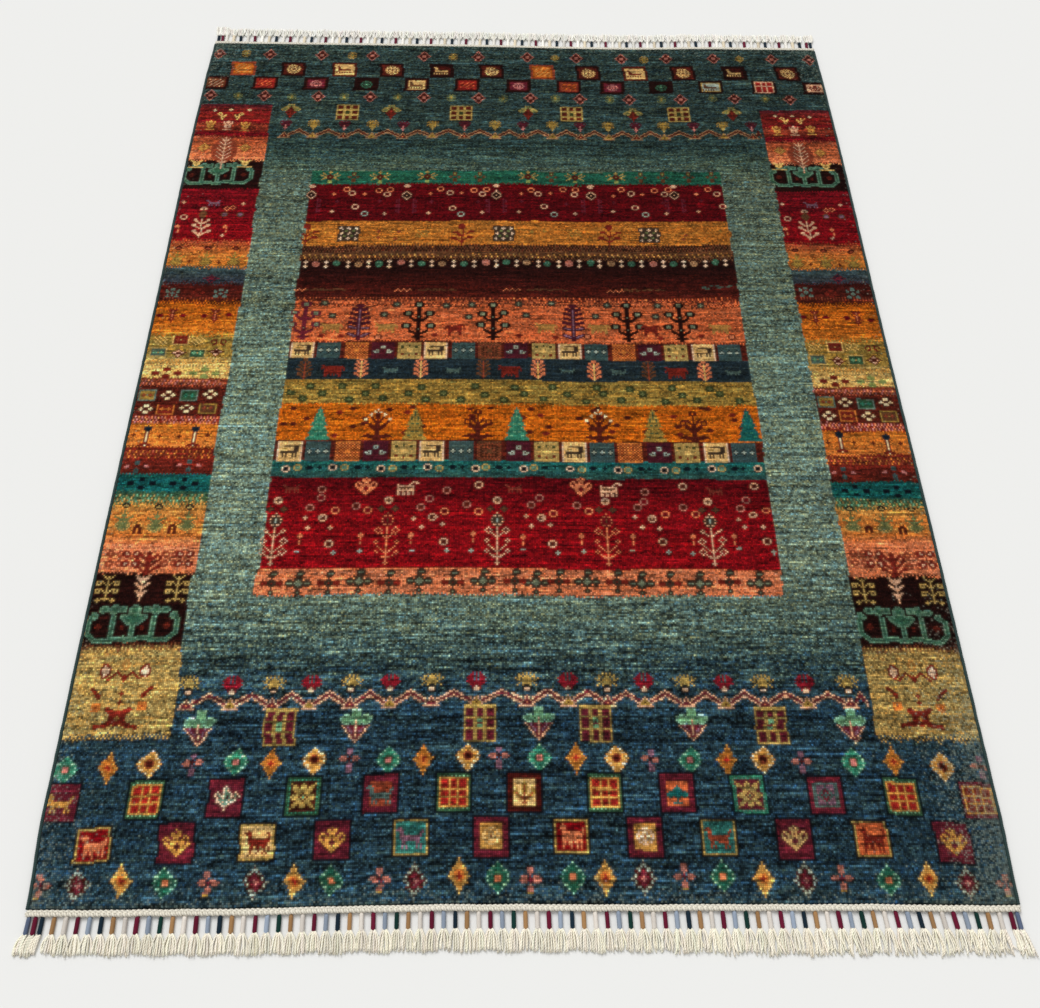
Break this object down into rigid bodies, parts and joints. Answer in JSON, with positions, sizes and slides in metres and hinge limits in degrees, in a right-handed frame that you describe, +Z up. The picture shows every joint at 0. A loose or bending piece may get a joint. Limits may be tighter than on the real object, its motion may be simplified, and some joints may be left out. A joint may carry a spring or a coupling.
{
  "type": "tribal rug",
  "caption": "Flat hand-knotted pile rug with overcast side cords, plaited ends and yarn-wrapped, tasselled fringes, lying on a floor.",
  "frame": {"origin": "on the floor under the middle of the rug", "axes": "+X across the rug to the right seen from its near end, +Y along it from the near end to the far end, +Z up"},
  "size_m": [1.2252, 1.7984, 0.0097],
  "materials": {
    "pile_wool": "short hand-knotted wool pile, striped and patterned",
    "side_cord_wool": "wool overcasting",
    "warp_cotton": "undyed cotton warp ends, wrapped in coloured yarn"
  },
  "bodies": {
    "root": {"pile_field": "pile_wool", "selvedge_left": "side_cord_wool", "selvedge_right": "side_cord_wool", "fringe_near": "warp_cotton", "fringe_far": "warp_cotton"}
  },
  "joints": []
}
